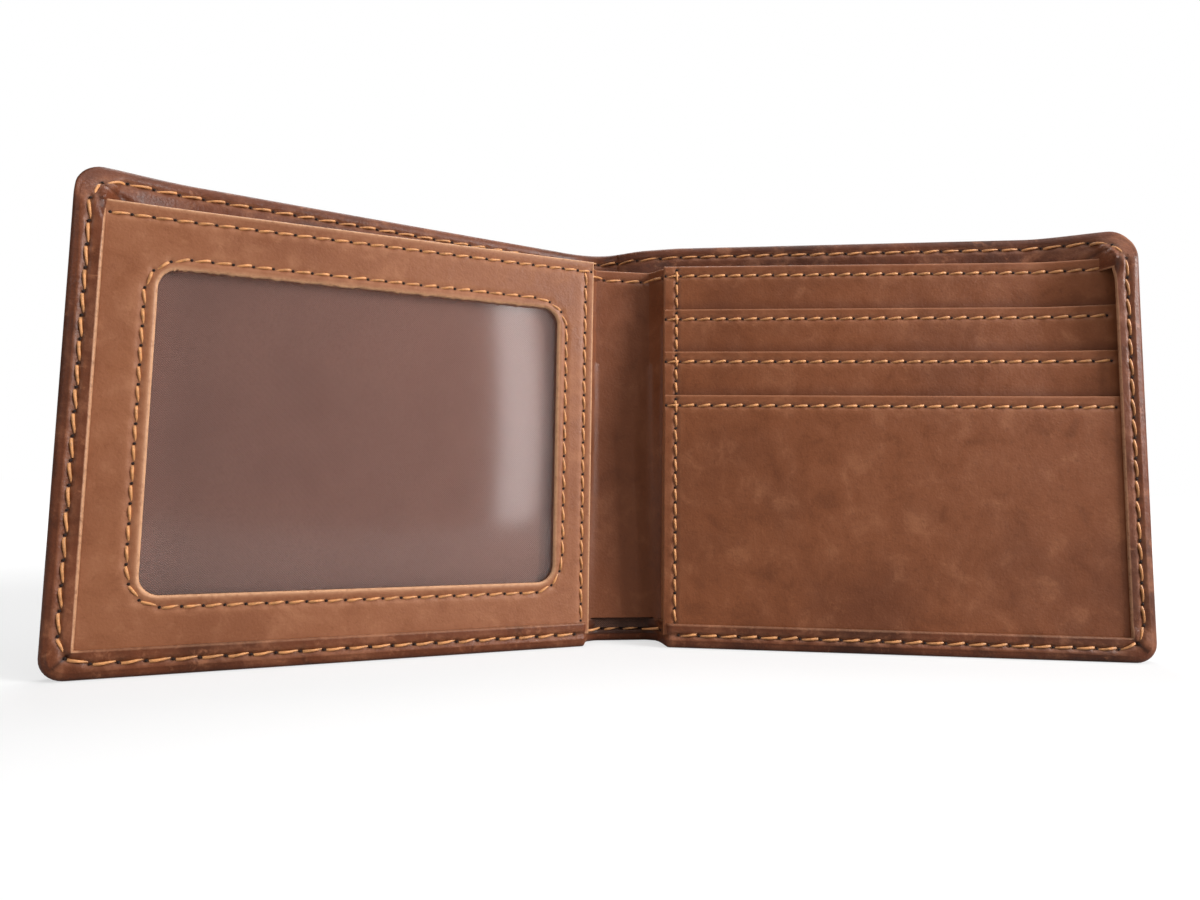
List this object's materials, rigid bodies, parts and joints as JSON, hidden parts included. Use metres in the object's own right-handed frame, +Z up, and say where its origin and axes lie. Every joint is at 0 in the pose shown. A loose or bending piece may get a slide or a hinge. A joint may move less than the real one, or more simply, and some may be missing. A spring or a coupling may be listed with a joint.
{
  "type": "bifold wallet",
  "caption": "Open bifold wallet of sewn brown leather with turned edges, a bill compartment, a clear ID window and stepped card pockets, folding at both edges of its spine.",
  "frame": {"origin": "centre of the bottom of the whole object", "axes": "+X towards the card side, along the object's longest extent; +Y towards the back of the spine; +Z up along the spine"},
  "size_m": [0.2112, 0.051, 0.09],
  "materials": {
    "cover_leather": "pull-up leather, waxy, dark brown",
    "panel_leather": "pull-up leather, waxy, tan brown",
    "lining": "fine woven lining",
    "window_film": "clear soft film",
    "thread": "waxed polyester thread"
  },
  "bodies": {
    "left_half": {"left_cover": "cover_leather", "left_cover_lining": "lining", "left_inner_base": "cover_leather", "left_bill_lining": "lining", "id_pocket_lining": "lining", "id_window_film": "window_film", "id_window_panel": "panel_leather", "left_hem_thread": "thread", "left_top_thread": "thread", "id_top_thread": "thread", "id_window_thread": "thread", "id_edge_thread": "thread"},
    "spine": {"spine_cover": "cover_leather", "spine_cover_lining": "lining", "centre_strip": "cover_leather", "spine_bill_lining": "lining", "spine_hem_thread": "thread", "spine_top_thread": "thread", "centre_strip_thread": "thread"},
    "right_half": {"right_cover": "cover_leather", "right_cover_lining": "lining", "right_inner_base": "cover_leather", "right_bill_lining": "lining", "card_back_panel": "panel_leather", "upper_card_pocket": "panel_leather", "upper_pocket_cloth": "lining", "middle_card_pocket": "panel_leather", "middle_pocket_cloth": "lining", "front_card_pocket": "panel_leather", "right_hem_thread": "thread", "right_top_thread": "thread", "card_back_thread": "thread", "upper_pocket_thread": "thread", "middle_pocket_thread": "thread", "front_pocket_thread": "thread", "card_edge_thread": "thread"}
  },
  "joints": [
    {"name": "left_fold", "type": "hinge", "parent": "spine", "child": "left_half", "pos_m": [-0.008, 0.00713, 0], "axis": [0, 0, 1], "range_deg": [-14.6, 75.4]},
    {"name": "right_fold", "type": "hinge", "parent": "spine", "child": "right_half", "pos_m": [0.008, 0.00713, 0], "axis": [0, 0, -1], "range_deg": [-14.6, 75.4]}
  ]
}
